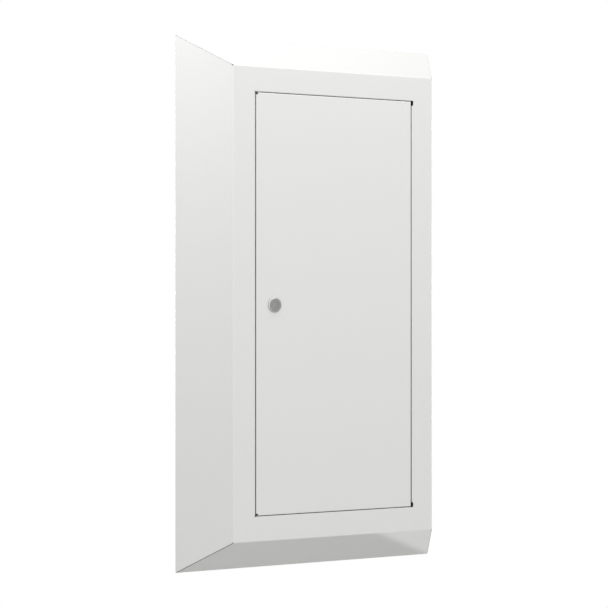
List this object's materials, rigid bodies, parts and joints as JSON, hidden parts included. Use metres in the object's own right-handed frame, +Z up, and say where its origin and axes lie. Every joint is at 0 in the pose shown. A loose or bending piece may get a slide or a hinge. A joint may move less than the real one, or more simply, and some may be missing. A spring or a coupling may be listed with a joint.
{
  "type": "locker cabinet",
  "caption": "Shallow wall-hung steel locker cabinet with four sloping sides, a flush hinged door, a round cam lock and shelves inside.",
  "frame": {"origin": "centre of the four wall fixing holes, on the back face that meets the wall", "axes": "+X towards the viewer's right, +Y into the wall, +Z up"},
  "size_m": [0.6432, 0.1336, 1.1432],
  "materials": {
    "powder_coat": "white powder coat, fine texture, satin",
    "zinc_steel": "zinc plated",
    "lock_metal": "satin chrome",
    "black_rubber": "matt",
    "nylon": "natural nylon, matt"
  },
  "bodies": {
    "cabinet": {"casing": "powder_coat", "back_plate": "powder_coat", "corner_cleat_upper_left": "powder_coat", "corner_cleat_upper_right": "powder_coat", "corner_cleat_lower_left": "zinc_steel", "corner_cleat_lower_right": "zinc_steel", "casing_studs": "zinc_steel", "casing_nuts": "zinc_steel", "left_upright": "powder_coat", "right_upright": "powder_coat", "upright_studs": "zinc_steel", "upright_nuts": "zinc_steel", "lower_shelf": "powder_coat", "lower_left_bracket": "powder_coat", "lower_right_bracket": "powder_coat", "middle_shelf": "powder_coat", "middle_left_bracket": "powder_coat", "middle_right_bracket": "powder_coat", "upper_shelf": "powder_coat", "upper_left_bracket": "powder_coat", "upper_right_bracket": "powder_coat", "door_bumpers": "black_rubber", "upper_pivot_pin": "zinc_steel", "upper_pivot_plate": "zinc_steel", "lower_pivot_pin": "zinc_steel", "lower_pivot_plate": "zinc_steel", "pivot_washer": "nylon"},
    "door": {"door_panel": "powder_coat", "door_stiffener": "powder_coat", "upper_door_bush": "nylon", "lower_door_bush": "nylon", "lock_housing": "lock_metal", "lock_gasket": "black_rubber", "lock_nut": "zinc_steel"},
    "cam": {"lock_plug": "lock_metal", "lock_cam": "zinc_steel", "cam_washer": "zinc_steel", "cam_screw": "zinc_steel"}
  },
  "joints": [
    {"name": "door_swing", "type": "hinge", "parent": "cabinet", "child": "door", "pos_m": [0.177, -0.1225, 0], "axis": [0, 0, 1], "range_deg": [0, 120]},
    {"name": "key_turn", "type": "hinge", "parent": "door", "child": "cam", "pos_m": [-0.151, -0.1225, -0.002], "axis": [0, -1, 0], "range_deg": [0, 90]}
  ]
}
